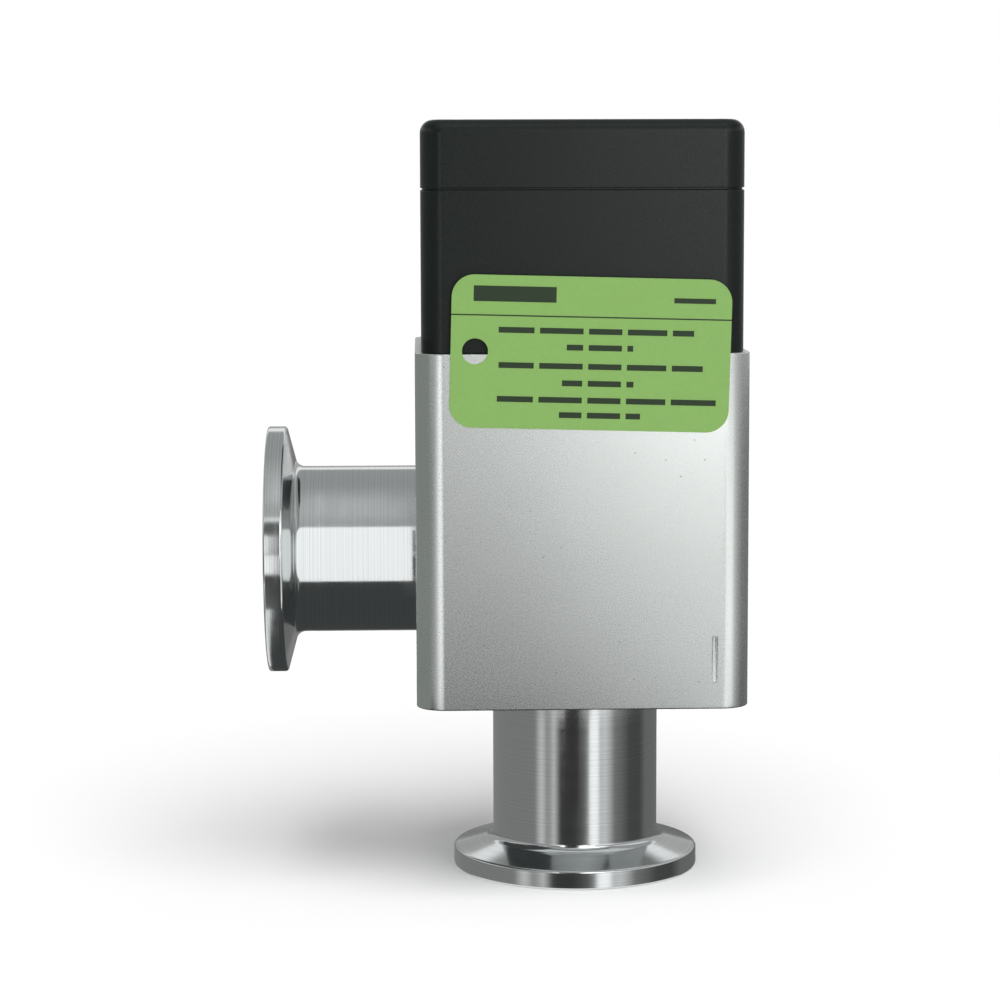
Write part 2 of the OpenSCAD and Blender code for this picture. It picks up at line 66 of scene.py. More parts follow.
def square_block(low, high, corner_r, lower_r, upper_r):
    """A block with round upright corners and rounded lower and upper edges."""
    bm = bmesh.new()
    bmesh.ops.create_cube(bm, size=1.0)
    bmesh.ops.scale(bm, vec=high - low, verts=bm.verts)
    bmesh.ops.translate(bm, vec=(low + high) / 2, verts=bm.verts)
    upright = [e for e in bm.edges if abs(e.verts[0].co.z - e.verts[1].co.z) > MM]
    round_off(bm, upright, corner_r, 16)
    for level, edge_r, segments in ((low.z, lower_r, 3), (high.z, upper_r, 6)):
        rim = [e for e in bm.edges if all(abs(v.co.z - level) < 0.01 * MM for v in e.verts)]
        round_off(bm, rim, edge_r, segments)
    return bm


def draw_outline(bm, places, closed=False):
    """Draws an outline in the XZ plane through places of a radius and a height, and gives its points."""
    points = [bm.verts.new((r, 0, z)) for r, z in places]
    for start, end in zip(points, points[1:] + points[:1] if closed else points[1:]):
        bm.edges.new((start, end))
    return points


def spin_round(bm, steps):
    """Spins an outline once round the Z axis, and closes its seam and poles."""
    bmesh.ops.spin(
        bm, geom=bm.verts[:] + bm.edges[:], axis=(0, 0, 1), cent=(0, 0, 0), angle=FULL_TURN, steps=steps,
        use_merge=True,
    )
    bmesh.ops.remove_doubles(bm, verts=bm.verts, dist=SAME_POINT)
    bmesh.ops.recalc_face_normals(bm, faces=bm.faces)


def turn(section, steps=128):
    """Turns a solid about Z. A point of its section is a radius, a height and, if rounded, how far."""
    bm = bmesh.new()
    on_axis = any(point[0] == 0 for point in section)
    points = draw_outline(bm, [point[:2] for point in section], closed=not on_axis)
    for vert, point in zip(points, section):
        for offset in point[2:]:
            round_off(bm, [vert], offset, 5, "VERTICES")
    spin_round(bm, steps)
    return bm


def add_prism(bm, sides, radius, length, place):
    """Adds a prism, which with many sides is a cylinder, by a matrix that places its middle."""
    bmesh.ops.create_cone(
        bm, cap_ends=True, segments=sides, radius1=radius, radius2=radius, depth=length, matrix=place
    )


def rods(places, radius, low, high):
    """Upright round rods, one at each (x, y) place."""
    bm = bmesh.new()
    for x, y in places:
        add_prism(bm, 48, radius, high - low, Matrix.Translation((x, y, (low + high) / 2)))
    return bm


def put_at(bm, place, axis, angle):
    """Turns a shape about an axis through the origin, then moves it to a place."""
    bmesh.ops.rotate(bm, verts=bm.verts, cent=(0, 0, 0), matrix=Matrix.Rotation(angle, 3, axis))
    bmesh.ops.translate(bm, verts=bm.verts, vec=place)
    return bm


def add_piece(name, bm):
    """Makes a bmesh an object at the origin, shaded smooth across its rounded edges."""
    mesh = bpy.data.meshes.new(name)
    bm.to_mesh(mesh)
    bm.free()
    mesh.shade_smooth()
    mesh.set_sharp_from_angle(angle=math.radians(35))
    piece = bpy.data.objects.new(name, mesh)
    bpy.context.scene.collection.objects.link(piece)
    return piece


def combine(name, bm, operation, tools):
    """Cuts tools out of a shape, or joins them to it, and gives the result as a bmesh."""
    piece = add_piece(name, bm)
    helpers = [add_piece(name + "_tool", tool) for tool in tools]
    for helper in helpers:
        change = piece.modifiers.new("change", "BOOLEAN")
        change.operation = operation
        change.solver = "EXACT"
        change.object = helper
    solid = piece.evaluated_get(bpy.context.evaluated_depsgraph_get())
    result = bmesh.new()
    result.from_mesh(solid.to_mesh())
    for used in [piece, *helpers]:
        bpy.data.objects.remove(used)
    bmesh.ops.remove_doubles(result, verts=result.verts, dist=SAME_POINT)
    return result


def finish_piece(piece, material):
    """Gives a piece its material, and keeps its flat faces flat beside their rounded edges."""
    piece.data.materials.clear()
    piece.data.materials.append(material)
    even = piece.modifiers.new("even_faces", "WEIGHTED_NORMAL")
    even.keep_sharp = True


def linear(hex_colour):
    """The linear colour of an sRGB hex value."""
    parts = [int(hex_colour[i:i + 2], 16) / 255 for i in (1, 3, 5)]
    return [p / 12.92 if p <= 0.04045 else ((p + 0.055) / 1.055) ** 2.4 for p in parts] + [1.0]


def new_material(name):
    """A material with its node tree, its shader and the object coordinates that its patterns read."""
    material = bpy.data.materials.new(name)
    material.use_nodes = True
    tree = material.node_tree
    place = add_node(tree, "ShaderNodeTexCoord").outputs["Object"]
    return material, tree, tree.nodes["Principled BSDF"], place


def set_input(tree, target, value):
    """Sets an input to a value, or links a socket to it."""
    if isinstance(value, bpy.types.NodeSocket):
        tree.links.new(value, target)
    else:
        target.default_value = value


def set_shader(tree, shader, **inputs):
    """Sets inputs of the shader, named with underscores for spaces."""
    for name, value in inputs.items():
        set_input(tree, shader.inputs[name.replace("_", " ")], value)


def add_node(tree, kind, inputs=None, **settings):
    """Adds a node with its settings and inputs."""
    node = tree.nodes.new(kind)
    for name, value in settings.items():
        setattr(node, name, value)
    for name, value in (inputs or {}).items():
        set_input(tree, node.inputs[name], value)
    return node


def noise(tree, place, size, detail, distortion=0.0):
    """Cloudy noise, from 0 to 1. Size is about how far apart its clouds are."""
    inputs = {"Vector": place, "Scale": 1 / size, "Detail": detail, "Distortion": distortion}
    return add_node(tree, "ShaderNodeTexNoise", inputs).outputs["Fac"]


def scatter(tree, place, size):
    """The distance to the nearest of points that are scattered about a size apart."""
    return add_node(tree, "ShaderNodeTexVoronoi", {"Vector": place, "Scale": 1 / size}).outputs["Distance"]


def blend(tree, share, first, second):
    """A blend of two colours, each a hex value or a socket."""
    colours = [linear(c) if isinstance(c, str) else c for c in (first, second)]
    inputs = {0: share, 6: colours[0], 7: colours[1]}
    return add_node(tree, "ShaderNodeMix", inputs, data_type="RGBA").outputs[2]


def remap(tree, value, source, target):
    """Maps one range of a value to another."""
    ends = {"From Min": source[0], "From Max": source[1], "To Min": target[0], "To Max": target[1]}
    return add_node(tree, "ShaderNodeMapRange", {"Value": value, **ends}).outputs["Result"]


def bumps(tree, height, strength, depth):
    """A normal that follows a height."""
    inputs = {"Height": height, "Strength": strength, "Distance": depth}
    return add_node(tree, "ShaderNodeBump", inputs).outputs["Normal"]


# Blasted, clear anodised aluminium: a silky grey with a fine even grain and a few dark specks.
# The blasting grit leaves dents of about 0.05 mm, drawn here at 0.2 mm so that they show.
satin, tree, shader, place = new_material("blasted_anodised_aluminium")
grain = noise(tree, place, 0.2 * MM, 3.0)
clouded = blend(tree, noise(tree, place, 14 * MM, 2.0), "#d9dddb", "#e0e4e2")
off_speck = remap(tree, scatter(tree, place, 3.4 * MM), (0.02, 0.06), (0, 1))
specked = blend(tree, off_speck, "#b4b8b6", clouded)
sheen = remap(tree, grain, (0.3, 0.7), (0.25, 0.28))
dents = bumps(tree, grain, 0.07, 0.01 * MM)
set_shader(tree, shader, Metallic=1.0, Base_Color=specked, Roughness=sheen, Normal=dents)

body_low, body_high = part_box("valve_body")
side_low, side_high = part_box("side_port")
bottom_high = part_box("bottom_port")[1]
plate_low, plate_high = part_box("valve_plate")
ring_low, ring_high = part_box("bellows_flange")
screw_low, screw_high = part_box("cover_screws")
head_r = 3.5 * MM
screw_place = screw_high.x - head_r
screw_places = [(x, y) for x in (-screw_place, screw_place) for y in (-screw_place, screw_place)]
axis_z = (side_low.z + side_high.z) / 2
over = 1 * MM
press_fit = 0.02 * MM
tube_r = 13.5 * MM
bore_r = 12 * MM
seal_stands = 0.5 * MM
seat_z = plate_low.z - seal_stands
seat_land = 3 * MM
seat_step = 1 * MM
seat_edge = 0.2 * MM
plate_room = 1.5 * MM
chamber_r = plate_high.x + plate_room
chamber_corner = 0.4 * MM
ring_t = 4 * MM
ring_ledge = ring_high.z - ring_t
ring_seat_r = ring_high.x + press_fit
body_corner_r = 4.5 * MM
body_edge = 0.2 * MM
tapped_r = 2.05 * MM
tap_end = 1.5 * MM
chamber = turn([
    (0, body_low.z - over),
    (tube_r + press_fit, body_low.z - over),
    (tube_r + press_fit, bottom_high.z + press_fit),
    (bore_r, bottom_high.z + press_fit),
    (bore_r, seat_z, seat_edge),
    (bore_r + seat_land, seat_z, seat_edge),
    (bore_r + seat_land, seat_z - seat_step),
    (chamber_r, seat_z - seat_step, chamber_corner),
    (chamber_r, ring_ledge),
    (ring_seat_r, ring_ledge),
    (ring_seat_r, body_high.z + over),
    (0, body_high.z + over),
])
side_pocket = side_high.x + press_fit
side_bore = turn([
    (0, body_low.x - over),
    (tube_r + press_fit, body_low.x - over),
    (tube_r + press_fit, side_pocket),
    (bore_r, side_pocket),
    (bore_r, 0),
    (0, 0),
])
put_at(side_bore, (0, 0, axis_z), "Y", math.pi / 2)
tapped_holes = rods(screw_places, tapped_r, screw_low.z - tap_end, body_high.z + over)

# The shallow groove that a ball-nosed mill left low on the right of the front face: a round bar with domed
# ends stands for what the mill took away
groove_length = 7.6 * MM
groove_half_w = 0.5 * MM
groove_inset = 5.6 * MM
groove_rise = 7.8 * MM
mark_depth = 0.35 * MM
mill_r = (groove_half_w ** 2 + mark_depth ** 2) / (2 * mark_depth)
groove_dome = 0.9 * mill_r
groove_z = body_low.z + groove_rise
groove_ends = [groove_z - groove_length / 2, groove_z + groove_length / 2]
groove = turn([
    (0, groove_ends[0]),
    (mill_r, groove_ends[0], groove_dome),
    (mill_r, groove_ends[1], groove_dome),
    (0, groove_ends[1]),
], steps=48)
groove_place = (body_high.x - groove_inset, body_low.y + mark_depth - mill_r, 0)
bmesh.ops.translate(groove, vec=groove_place, verts=groove.verts)

block = square_block(body_low, body_high, body_corner_r, body_edge, body_edge)
cutters = [chamber, side_bore, tapped_holes, groove]
body = add_piece("body_block", combine("body", block, "DIFFERENCE", cutters))
finish_piece(body, satin)
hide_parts("valve_body")
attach(body, "casing")


# Ports
# Two tubes with clamp flanges, turned from aluminium bar and left bright. Each is pressed into the body,
# and has a recess in its flange face for a centring ring and a sloped back for the clamp.

def calculate(tree, operation, *values):
    """The result of an operation on values and sockets."""
    return add_node(tree, "ShaderNodeMath", dict(enumerate(values)), operation=operation).outputs["Value"]


def turned_metal(name, light, dark, groove, roughness, middle=(0, 0, 0), along=(0, 0, 1)):
    """Metal with the fine rings that a lathe tool leaves round an axis. Groove is their spacing as drawn."""
    material, tree, shader, place = new_material(name)
    centred = add_node(tree, "ShaderNodeVectorMath", {0: place, 1: middle}, operation="SUBTRACT")
    from_middle = centred.outputs["Vector"]
    height = add_node(tree, "ShaderNodeVectorMath", {0: from_middle, 1: along}, operation="DOT_PRODUCT")
    round_axis = [1 - a for a in along]
    flat = add_node(tree, "ShaderNodeVectorMath", {0: from_middle, 1: round_axis}, operation="MULTIPLY")
    radius = add_node(tree, "ShaderNodeVectorMath", {0: flat.outputs["Vector"]}, operation="LENGTH")
    feed = calculate(tree, "ADD", height.outputs["Value"], radius.outputs["Value"])
    rings = add_node(
        tree, "ShaderNodeTexNoise", {"W": feed, "Scale": 1 / groove, "Detail": 3.0, "Roughness": 0.6},
        noise_dimensions="1D",
    ).outputs["Fac"]
    bands = add_node(
        tree, "ShaderNodeTexNoise", {"W": feed, "Scale": 1 / (12 * groove), "Detail": 2.0},
        noise_dimensions="1D",
    ).outputs["Fac"]
    colour = blend(tree, remap(tree, rings, (0.3, 0.7), (0, 1)), dark, light)
    worn = calculate(tree, "MULTIPLY", bands, noise(tree, place, 4 * MM, 4.0))
    gloss = remap(tree, worn, (0.1, 0.45), (roughness * 0.8, roughness * 1.25))
    grooves = bumps(tree, rings, 0.25, 0.015 * groove)
    set_shader(tree, shader, Metallic=1.0, Base_Color=colour, Roughness=gloss, Normal=grooves)
    return material


def port_section(length):
    """Half section of a port, with its flange face at height 0."""
    flange_r = bottom_high.x
    rim = 3 * MM
    slope = math.tan(math.radians(15))
    recess_r = 13.1 * MM
    recess_depth = 3 * MM
    edge = 0.35 * MM
    fine_edge = 0.12 * MM
    neck = 1.15 * MM
    return [
        (bore_r, length, fine_edge),
        (bore_r, recess_depth, fine_edge),
        (recess_r, recess_depth),
        (recess_r, 0, fine_edge),
        (flange_r, 0, edge),
        (flange_r, rim, edge),
        (tube_r, rim + (flange_r - tube_r) * slope, neck),
        (tube_r, length, edge),
    ]


# Bright turned aluminium: mirror-like across the rings, and spread along the tube by the tool's fine feed.
# The feed is about 0.1 mm a turn, drawn here at 0.25 mm so that it shows.
feed_mark = 0.25 * MM
bright_finish = ("#dcdfdf", "#cfd2d2", feed_mark, 0.13)
bright_side = turned_metal("turned_aluminium_side", *bright_finish, middle=(0, 0, axis_z), along=(1, 0, 0))
bright_bottom = turned_metal("turned_aluminium_bottom", *bright_finish)

side_tube = turn(port_section(side_high.x - side_low.x))
side_port = add_piece("side_port_tube", put_at(side_tube, (side_low.x, 0, axis_z), "Y", math.pi / 2))
finish_piece(side_port, bright_side)
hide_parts("side_port")
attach(side_port, "casing")

bottom_port = add_piece("bottom_port_tube", turn(port_section(bottom_high.z)))
finish_piece(bottom_port, bright_bottom)
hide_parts("bottom_port")
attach(bottom_port, "casing")


# Valve plate
# A turned stainless disc with a dovetail groove for its seal in the underside, and a boss on top that the
# bellows is welded to and the stem screws into.

stainless = turned_metal("turned_stainless_steel", "#bdbdba", "#a3a3a0", 0.3 * MM, 0.24)
cuff_r = 9.85 * MM
boss_h = 3 * MM
plate_top = plate_high.z - boss_h
seal_r = bore_r + seat_land / 2
groove_mouth = 1.09 * MM
groove_base = 1.77 * MM
groove_depth = 2.2 * MM
stem_thread_r = 3 * MM
stem_tail = 6.05 * MM
plate_edge = 0.35 * MM
boss_edge = 0.15 * MM
groove_lip = 0.1 * MM
groove_corner = 0.2 * MM
sharp_edge = 0.05 * MM
thread_lead = 0.3 * MM
plate = add_piece("valve_plate_disc", turn([
    (0, plate_low.z),
    (seal_r - groove_mouth, plate_low.z, groove_lip),
    (seal_r - groove_base, plate_low.z + groove_depth, groove_corner),
    (seal_r + groove_base, plate_low.z + groove_depth, groove_corner),
    (seal_r + groove_mouth, plate_low.z, groove_lip),
    (plate_high.x, plate_low.z, plate_edge),
    (plate_high.x, plate_top, plate_edge),
    (cuff_r, plate_top, sharp_edge),
    (cuff_r, plate_high.z, boss_edge),
    (stem_thread_r + press_fit, plate_high.z, thread_lead),
    (stem_thread_r + press_fit, plate_high.z - stem_tail),
    (0, plate_high.z - stem_tail),
]))
finish_piece(plate, stainless)
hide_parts("valve_plate")
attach(plate, "plunger")


# Plate seal
# A moulded ring of fluorocarbon rubber, pressed into the dovetail groove so that it stands proud of the
# plate and closes on the seat.

def cord_ring(node):
    """A ring of round cord that fills a CAD ring's box."""
    low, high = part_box(node)
    cord_r = (high.z - low.z) / 2
    bm = bmesh.new()
    bmesh.ops.create_circle(bm, segments=24, radius=cord_r, matrix=Matrix.Rotation(math.pi / 2, 4, "X"))
    bmesh.ops.translate(bm, vec=(high.x - cord_r, 0, low.z + cord_r), verts=bm.verts)
    spin_round(bm, steps=128)
    return bm


# Fluorocarbon rubber: near black and matt, with a faint bloom and the fine texture of the mould.
rubber, tree, shader, place = new_material("fluorocarbon_rubber")
bloom = blend(tree, noise(tree, place, 3 * MM, 3.0), "#131415", "#232425")
texture = bumps(tree, noise(tree, place, 0.2 * MM, 2.0), 0.3, 0.01 * MM)
set_shader(tree, shader, Base_Color=bloom, Roughness=0.55, Specular_IOR_Level=0.4, Normal=texture)

plate_seal = add_piece("plate_seal_ring", cord_ring("plate_seal"))
finish_piece(plate_seal, rubber)
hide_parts("plate_seal")
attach(plate_seal, "plunger")


# Bellows
# A thin stainless tube, hydraulically formed into U-shaped folds and welded at its cuffs to the plate's
# boss and to the bellows flange. It folds up as the valve opens.

bellows_low, bellows_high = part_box("bellows")
wall = 0.3 * MM
weld_gap = 0.05 * MM
folds = 10
cuff = 2.6 * MM
pitch = (bellows_high.z - bellows_low.z - 2 * cuff) / folds
bend = pitch / 4

# The line is the outside of the wall, which gets its thickness inwards
root_r = cuff_r + weld_gap + wall
crest_r = bellows_high.x
line = [(root_r, bellows_low.z)]
for fold in range(folds):
    lower = bellows_low.z + cuff + fold * pitch + bend
    upper = lower + 2 * bend
    line += [(root_r, lower), (crest_r, lower), (crest_r, upper), (root_r, upper)]
line.append((root_r, bellows_high.z))
bm = bmesh.new()
points = draw_outline(bm, line)
round_off(bm, points[1:-1], 0.98 * bend, 6, "VERTICES")
spin_round(bm, steps=96)
bmesh.ops.solidify(bm, geom=bm.faces[:], thickness=wall)
bellows = add_piece("bellows_folds", bm)
bellows.data.materials.append(stainless)
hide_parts("bellows")
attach(bellows, "casing")
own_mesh(bellows)


# Bellows flange
# A turned stainless ring that closes the top of the valve chamber. The bellows is welded to its spigot, and
# the actuator holds it down on its seal.

spigot_bore_r = 8.15 * MM
groove_middle = (chamber_r + ring_seat_r) / 2
groove_half = 1.14 * MM
ring_groove = 1.83 * MM
groove_top = ring_ledge + ring_groove
ring_edge = 0.15 * MM
boss_lead = 0.25 * MM
bellows_flange = add_piece("bellows_flange_ring", turn([
    (spigot_bore_r, ring_low.z, ring_edge),
    (cuff_r, ring_low.z, ring_edge),
    (cuff_r, ring_ledge, sharp_edge),
    (groove_middle - groove_half, ring_ledge, sharp_edge),
    (groove_middle - groove_half, groove_top, groove_corner),
    (groove_middle + groove_half, groove_top, groove_corner),
    (groove_middle + groove_half, ring_ledge, sharp_edge),
    (ring_high.x, ring_ledge, ring_edge),
    (ring_high.x, ring_high.z, ring_edge),
    (spigot_bore_r, ring_high.z, boss_lead),
]))
finish_piece(bellows_flange, stainless)
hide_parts("bellows_flange")
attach(bellows_flange, "casing")


# Bonnet seal
# A moulded rubber ring in the groove under the bellows flange, squeezed as the actuator is screwed down. It
# keeps the chamber tight at this joint.

bonnet_seal = add_piece("bonnet_seal_ring", cord_ring("bonnet_seal"))
finish_piece(bonnet_seal, rubber)
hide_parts("bonnet_seal")
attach(bonnet_seal, "casing")


# Stem
# A ground stainless rod that joins the plate to the piston. Both ends are threaded, and the upper end is
# drilled for the tail of the position indicator.

def threaded_rod(radius, pitch, low, high, steps=32):
    """A rod with a V thread, standing along Z and cut off square at both ends."""
    root = radius - 0.6 * pitch
    turns = math.ceil((high - low) / pitch) + 2
    # It starts well below the cut, and a little off a whole step, so that no point lies in the cut
    first_z = low - 1.51 * pitch
    outline = [(radius, 0), (radius, pitch / 8), (root, pitch / 2), (root, 5 * pitch / 8), (radius, pitch)]
    bm = bmesh.new()
    draw_outline(bm, [(r, first_z + z) for r, z in outline])
    bmesh.ops.spin(
        bm, geom=bm.verts[:] + bm.edges[:], axis=(0, 0, 1), cent=(0, 0, 0), dvec=(0, 0, pitch / steps),
        angle=FULL_TURN * turns, steps=steps * turns,
    )
    bmesh.ops.remove_doubles(bm, verts=bm.verts, dist=SAME_POINT)
    for level, outwards in ((low, (0, 0, -1)), (high, (0, 0, 1))):
        shape = bm.verts[:] + bm.edges[:] + bm.faces[:]
        cut = bmesh.ops.bisect_plane(
            bm, geom=shape, dist=1e-9, plane_co=(0, 0, level), plane_no=outwards, clear_outer=True
        )
        rim = [e for e in cut["geom_cut"] if isinstance(e, bmesh.types.BMEdge)]
        bmesh.ops.edgeloop_fill(bm, edges=rim)
    bmesh.ops.recalc_face_normals(bm, faces=bm.faces)
    return bm


stem_low, stem_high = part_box("stem")
piston_low, piston_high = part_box("piston")
pin_low, pin_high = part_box("indicator_pin")
stem_r = stem_high.x
thread_pitch = 1 * MM
shoulder_edge = 0.3 * MM
tail_r = 1.5 * MM
tail_room = 0.05 * MM
shank = turn([
    (0, plate_high.z),
    (stem_r, plate_high.z, shoulder_edge),
    (stem_r, piston_low.z, shoulder_edge),
    (0, piston_low.z),
])
lower_thread = threaded_rod(stem_thread_r, thread_pitch, stem_low.z, plate_high.z + over)
upper_thread = threaded_rod(stem_thread_r, thread_pitch, piston_low.z - over, stem_high.z)
tail_hole = rods([(0, 0)], tail_r, pin_low.z - tail_room, stem_high.z + over)
rod = combine("stem", shank, "UNION", [lower_thread, upper_thread])
stem = add_piece("stem_rod", combine("stem", rod, "DIFFERENCE", [tail_hole]))
finish_piece(stem, stainless)
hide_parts("stem")
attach(stem, "plunger")


# Guide bush
# A sintered bronze bearing, soaked with oil and pressed into the guide boss of the actuator. The stem
# slides in it.

# Sintered bronze: brown yellow and dull, with open pores of about 0.1 mm, drawn at 0.3 mm to show.
bronze, tree, shader, place = new_material("sintered_bronze")
oil = blend(tree, noise(tree, place, 2 * MM, 3.0), "#8f6a38", "#b98a4b")
pores = bumps(tree, scatter(tree, place, 0.3 * MM), 0.5, 0.04 * MM)
set_shader(tree, shader, Metallic=1.0, Base_Color=oil, Roughness=0.42, Normal=pores)

bush_low, bush_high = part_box("guide_bush")
bush_play = 0.03 * MM
bush_bore_r = stem_r + bush_play
bush_lead = 0.2 * MM
bush_edge = 0.3 * MM
bush = add_piece("guide_bush_sleeve", turn([
    (bush_bore_r, bush_low.z, bush_lead),
    (bush_high.x, bush_low.z, bush_edge),
    (bush_high.x, bush_high.z, bush_edge),
    (bush_bore_r, bush_high.z, bush_lead),
]))
finish_piece(bush, bronze)
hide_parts("guide_bush")
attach(bush, "casing")


# Rod seal
# A moulded rubber ring round the stem, in a pocket above the guide bush. It holds the compressed air in the
# cylinder.

rod_seal = add_piece("rod_seal_ring", cord_ring("rod_seal"))
finish_piece(rod_seal, rubber)
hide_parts("rod_seal")
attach(rod_seal, "casing")


# Seal retainer
# A washer stamped from steel strip and zinc plated. It is pressed into the floor of the cylinder and keeps
# the rod seal in its pocket.

# Zinc plate: pale blue grey, half bright, with a fine cloudy crystal of about 0.5 mm.
zinc, tree, shader, place = new_material("zinc_plated_steel")
haze = blend(tree, noise(tree, place, 1.5 * MM, 4.0), "#9fa4a9", "#c6cacd")
crystal = remap(tree, scatter(tree, place, 0.5 * MM), (0, 1), (0.24, 0.4))
set_shader(tree, shader, Metallic=1.0, Base_Color=haze, Roughness=crystal)

retainer_low, retainer_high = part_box("seal_retainer")
retainer_play = 0.2 * MM
retainer_bore_r = stem_r + retainer_play
stamped_edge = 0.1 * MM
rolled_edge = 0.25 * MM
retainer = add_piece("seal_retainer_washer", turn([
    (retainer_bore_r, retainer_low.z, stamped_edge),
    (retainer_high.x, retainer_low.z, stamped_edge),
    (retainer_high.x, retainer_high.z, rolled_edge),
    (retainer_bore_r, retainer_high.z, rolled_edge),
]))
finish_piece(retainer, zinc)
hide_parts("seal_retainer")
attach(retainer, "casing")


# Cylinder housing
# The actuator's square housing, machined from aluminium and anodised black. It holds the cylinder, the
# guide boss for the stem and, in the back, the tapped port for the compressed air.

# Black anodised aluminium: a deep grey black with a soft sheen, over the same fine blasted grain as the
# body. The dye takes a little unevenly, in clouds of about a centimetre. The grain is drawn at 0.3 mm so
# that it shows.
black, tree, shader, place = new_material("black_anodised_aluminium")
grit = noise(tree, place, 0.3 * MM, 3.0)
dye = blend(tree, noise(tree, place, 12 * MM, 3.0), "#050e0b", "#0a1613")
soft = remap(tree, grit, (0.3, 0.7), (0.26, 0.34))
blasted = bumps(tree, grit, 0.3, 0.02 * MM)
set_shader(tree, shader, Base_Color=dye, Roughness=soft, Specular_IOR_Level=0.3, Normal=blasted)

housing_low, housing_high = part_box("cylinder_housing")
seal_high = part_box("rod_seal")[1]
block_low = Vector((housing_low.x, housing_low.y, body_high.z))
actuator_corner_r = 3.5 * MM
housing_edge = 0.2 * MM
boss_r = 8.05 * MM
boss_end_edge = 0.3 * MM
cylinder_r = 20 * MM
web_top = retainer_high.z
seal_room = 0.05 * MM
seal_pocket_r = seal_high.x + seal_room
screw_hole_r = 2.2 * MM
guide_boss = turn([
    (0, housing_low.z),
    (boss_r, housing_low.z, boss_end_edge),
    (boss_r, body_high.z + over),
    (0, body_high.z + over),
])
stepped_bore = turn([
    (0, housing_low.z - over),
    (bush_high.x + press_fit, housing_low.z - over),
    (bush_high.x + press_fit, bush_high.z),
    (seal_pocket_r, bush_high.z),
    (seal_pocket_r, retainer_low.z),
    (retainer_high.x + press_fit, retainer_low.z),
    (retainer_high.x + press_fit, web_top),
    (cylinder_r, web_top),
    (cylinder_r, housing_high.z + over),
    (0, housing_high.z + over),
])
screw_holes = rods(screw_places, screw_hole_r, body_high.z - over, housing_high.z + over)

# The air port: countersunk, drilled and tapped from the back, with a drilling up into the cylinder
port_r = 2.1 * MM
port_depth = 8.5 * MM
port_thread_r = 2.5 * MM
port_pitch = 0.8 * MM
countersink_r = port_thread_r + 0.3 * MM
countersink_depth = 0.7 * MM
port_z = (body_high.z + web_top) / 2
air_way_r = 1.2 * MM
air_drill = turn([
    (0, -over),
    (countersink_r, -over),
    (countersink_r, 0),
    (port_r, countersink_depth),
    (port_r, port_depth),
    (0, port_depth),
], steps=48)
air_tap = threaded_rod(port_thread_r, port_pitch, -over, port_depth - over)
for tool in (air_drill, air_tap):
    put_at(tool, (0, housing_high.y, port_z), "X", math.pi / 2)
air_way = rods([(0, housing_high.y - port_depth + air_way_r)], air_way_r, port_z, web_top + over)

block = square_block(block_low, housing_high, actuator_corner_r, housing_edge, housing_edge)
block = combine("housing", block, "UNION", [guide_boss])
cutters = [stepped_bore, screw_holes, air_drill, air_tap, air_way]
housing = add_piece("actuator_housing", combine("housing", block, "DIFFERENCE", cutters))
finish_piece(housing, black)
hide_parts("cylinder_housing")
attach(housing, "casing")


# Piston
# A dished aluminium piston, turned all over. It has a groove for the lip seal and one for the guide ring,
# and the closing spring sits in its dish.

lip_low, lip_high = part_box("piston_seal")
band_low, band_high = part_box("guide_ring")
washer_low, washer_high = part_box("piston_washer")
groove_play = 0.05 * MM
dish_r = 15 * MM
lip_depth = 2.8 * MM
band_t = 1.2 * MM
lip_root = cylinder_r - lip_depth - groove_play
band_root = cylinder_r - band_t - groove_play
piston_bore_r = stem_thread_r + press_fit
fine_edge = 0.1 * MM
small_edge = 0.2 * MM
dish_edge = 0.3 * MM
broad_edge = 0.4 * MM
piston = add_piece("piston_dish", turn([
    (piston_bore_r, piston_low.z, small_edge),
    (piston_high.x, piston_low.z, broad_edge),
    (piston_high.x, lip_low.z - groove_play, fine_edge),
    (lip_root, lip_low.z - groove_play, fine_edge),
    (lip_root, lip_high.z + groove_play, fine_edge),
    (piston_high.x, lip_high.z + groove_play, fine_edge),
    (piston_high.x, band_low.z - groove_play, fine_edge),
    (band_root, band_low.z - groove_play, fine_edge),
    (band_root, band_high.z + groove_play, fine_edge),
    (piston_high.x, band_high.z + groove_play, fine_edge),
    (piston_high.x, piston_high.z, small_edge),
    (dish_r, piston_high.z, dish_edge),
    (dish_r, washer_low.z, broad_edge),
    (piston_bore_r, washer_low.z, small_edge),
]))
finish_piece(piston, turned_metal("turned_piston_aluminium", "#cfd1d1", "#b4b7b7", 0.3 * MM, 0.28))
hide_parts("piston")
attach(piston, "plunger")


# Piston seal
# A moulded rubber ring, sprung into the piston's lower groove. Its two lips open downwards, so that the air
# under the piston presses them apart.

lip = 0.6 * MM
lip_valley = 0.25 * MM
lip_root_r = cylinder_r - lip_depth
lip_middle = (lip_root_r + lip_high.x) / 2
piston_seal = add_piece("piston_seal_lips", turn([
    (lip_root_r, lip_low.z),
    (lip_root_r + lip, lip_low.z, fine_edge),
    (lip_middle, (lip_low.z + lip_high.z) / 2, lip_valley),
    (lip_high.x - lip, lip_low.z, fine_edge),
    (lip_high.x, lip_low.z),
    (lip_high.x, lip_high.z - lip, fine_edge),
    (lip_high.x - lip, lip_high.z, fine_edge),
    (lip_root_r, lip_high.z, fine_edge),
]))
finish_piece(piston_seal, rubber)
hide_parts("piston_seal")
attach(piston_seal, "plunger")


# Guide ring
# A band cut from PTFE strip and sprung into the piston's upper groove, so it has a split. It keeps the
# piston off the cylinder wall.

